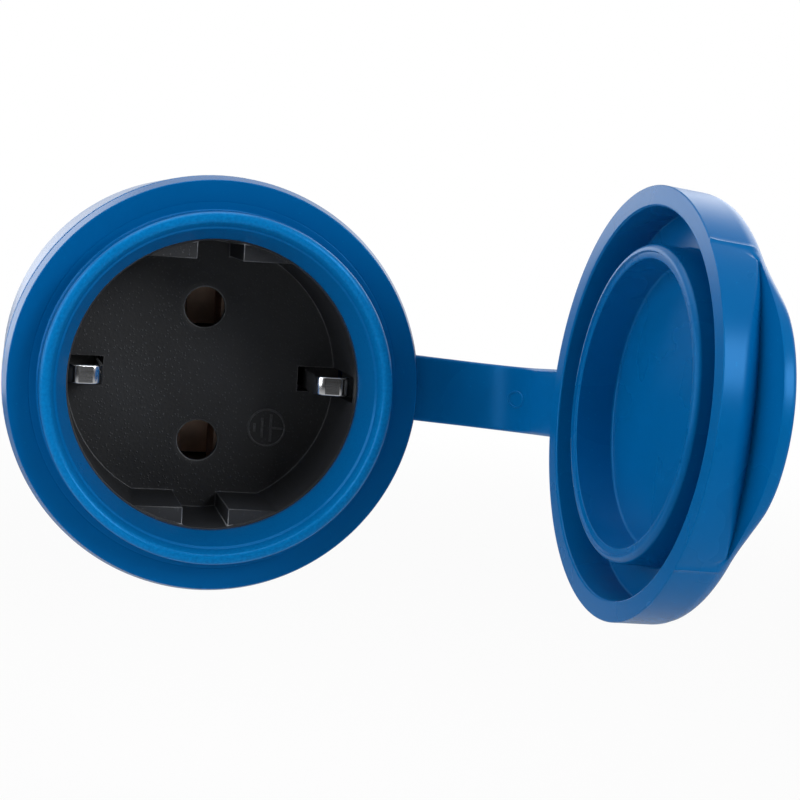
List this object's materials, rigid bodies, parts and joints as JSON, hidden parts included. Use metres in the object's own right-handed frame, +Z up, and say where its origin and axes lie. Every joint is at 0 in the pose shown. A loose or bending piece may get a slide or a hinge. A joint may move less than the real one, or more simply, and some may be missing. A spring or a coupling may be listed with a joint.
{
  "type": "splash-proof wall socket",
  "caption": "Round blue splash-proof earthed wall socket with a black recessed insert, raised sealing lip and a cap that swings on a flexible strap.",
  "frame": {"origin": "centre of the back face, on the wall", "axes": "+Z up, +Y into the wall, the front faces -Y, the cap's strap is at +X"},
  "size_m": [0.0844, 0.1067, 0.0588],
  "materials": {
    "blue_plastic": "satin",
    "blue_soft": "satin",
    "black_plastic": "matte",
    "seal_rubber": "matte",
    "plated_steel": "polished",
    "contact_brass": "satin"
  },
  "bodies": {
    "socket": {"base_box": "blue_plastic", "front_collar": "blue_plastic", "neck_seal": "seal_rubber", "insert_seal": "seal_rubber", "strap_ring": "blue_soft", "insert_cup": "black_plastic", "terminal_body": "black_plastic", "live_contact": "contact_brass", "neutral_contact": "contact_brass", "earth_spring": "plated_steel", "live_terminal": "contact_brass", "neutral_terminal": "contact_brass", "earth_terminal": "contact_brass", "terminal_screws": "plated_steel", "clamp_plates": "plated_steel", "insert_screws": "plated_steel", "cable_grommet": "seal_rubber"},
    "lid": {"lid": "blue_soft", "strap_end": "blue_soft"}
  },
  "joints": [
    {"name": "lid_hinge", "type": "hinge", "parent": "socket", "child": "lid", "pos_m": [0.04099, -0.0368, 0.00072], "axis": [-0.0174, 0.0854, 0.9962], "range_deg": [-95.6, 60]}
  ]
}
